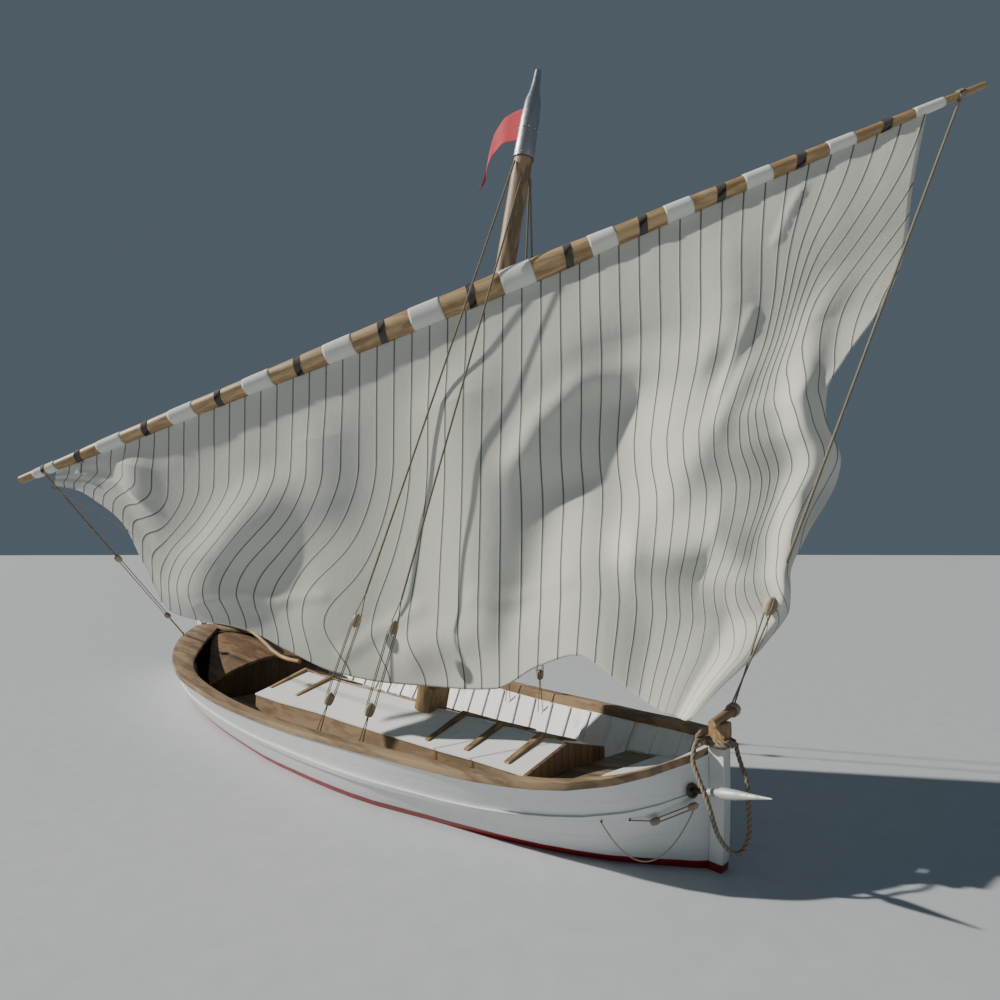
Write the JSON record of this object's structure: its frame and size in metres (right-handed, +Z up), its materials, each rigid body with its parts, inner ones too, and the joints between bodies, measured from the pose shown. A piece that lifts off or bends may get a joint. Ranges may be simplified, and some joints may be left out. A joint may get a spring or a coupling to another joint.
{
  "type": "dhow sailing boat",
  "caption": "Small wooden double-ended sailing boat with a raked mast, a long lashed lateen yard and sail, a low gabled trunk, an open cockpit and a tiller on a hung rudder.",
  "frame": {"origin": "on the centreline at the waterline, amidships", "axes": "+X towards the bow, +Y to port, +Z up"},
  "size_m": [10.5519, 4.6707, 6.4608],
  "materials": {
    "aft_bulkhead": "weathered",
    "aft_deck": "weathered",
    "bow_frames_port": "painted wood, worn white",
    "bow_frames_starboard": "painted wood, worn white",
    "bow_platform": "painted wood, worn white",
    "cap_rail_port": "weathered",
    "cap_rail_starboard": "weathered",
    "foredeck": "weathered",
    "frames_port": "painted wood, worn white",
    "frames_starboard": "painted wood, worn white",
    "gudgeon_1": "rusty",
    "gudgeon_2": "rusty",
    "hawse_ring": "rusty",
    "hull": "painted wood, worn white",
    "keel": "antifouling red",
    "main_deck": "weathered",
    "mast": "weathered",
    "mast_cap": "dull sheet",
    "mast_partner": "weathered",
    "parrel": "laid rope",
    "pennant": "dyed cotton",
    "pintle_1": "rusty",
    "pintle_2": "rusty",
    "roof": "painted wood, worn white",
    "roof_batten_1": "weathered",
    "roof_batten_2": "weathered",
    "roof_batten_3": "weathered",
    "roof_batten_4": "weathered",
    "roof_batten_5": "weathered",
    "rudder": "painted wood, worn white",
    "sail": "woven cotton",
    "shroud_1": "laid rope",
    "shroud_2": "laid rope",
    "shroud_3": "laid rope",
    "shroud_4": "laid rope",
    "spike_nose": "dull sheet",
    "spike_shaft": "weathered",
    "stem_head": "weathered",
    "stem_log": "weathered",
    "stem_post": "painted wood, worn white",
    "stern_post": "painted wood, worn white",
    "tiller": "weathered",
    "trunk": "weathered",
    "trunk_fascia": "weathered",
    "yard_lower": "weathered",
    "yard_upper": "weathered"
  },
  "bodies": {
    "boat": {"aft_bulkhead": "aft_bulkhead", "aft_deck": "aft_deck", "bow_frames_port": "bow_frames_port", "bow_frames_starboard": "bow_frames_starboard", "bow_platform": "bow_platform", "cap_rail_port": "cap_rail_port", "cap_rail_starboard": "cap_rail_starboard", "foredeck": "foredeck", "frames_port": "frames_port", "frames_starboard": "frames_starboard", "gudgeon_1": "gudgeon_1", "gudgeon_2": "gudgeon_2", "hawse_ring": "hawse_ring", "hull": "hull", "keel": "keel", "main_deck": "main_deck", "mast": "mast", "mast_cap": "mast_cap", "mast_partner": "mast_partner", "pennant": "pennant", "roof": "roof", "roof_batten_1": "roof_batten_1", "roof_batten_2": "roof_batten_2", "roof_batten_3": "roof_batten_3", "roof_batten_4": "roof_batten_4", "roof_batten_5": "roof_batten_5", "shroud_1": "shroud_1", "shroud_2": "shroud_2", "shroud_3": "shroud_3", "shroud_4": "shroud_4", "spike_nose": "spike_nose", "spike_shaft": "spike_shaft", "stem_head": "stem_head", "stem_log": "stem_log", "stem_post": "stem_post", "stern_post": "stern_post", "trunk": "trunk", "trunk_fascia": "trunk_fascia"},
    "rudder": {"pintle_1": "pintle_1", "pintle_2": "pintle_2", "rudder": "rudder", "tiller": "tiller"},
    "yard": {"parrel": "parrel", "sail": "sail", "yard_lower": "yard_lower", "yard_upper": "yard_upper"}
  },
  "joints": [
    {"name": "rudder_turn", "type": "hinge", "parent": "boat", "child": "rudder", "pos_m": [-4.44383, 0, 0.05], "axis": [-0.2069, 0, 0.9784], "range_deg": [-16, 16]},
    {"name": "yard_swing", "type": "hinge", "parent": "boat", "child": "yard", "pos_m": [1.709, 0, 0.501], "axis": [0.2456, 0, 0.9694], "range_deg": [-25, 4]}
  ]
}
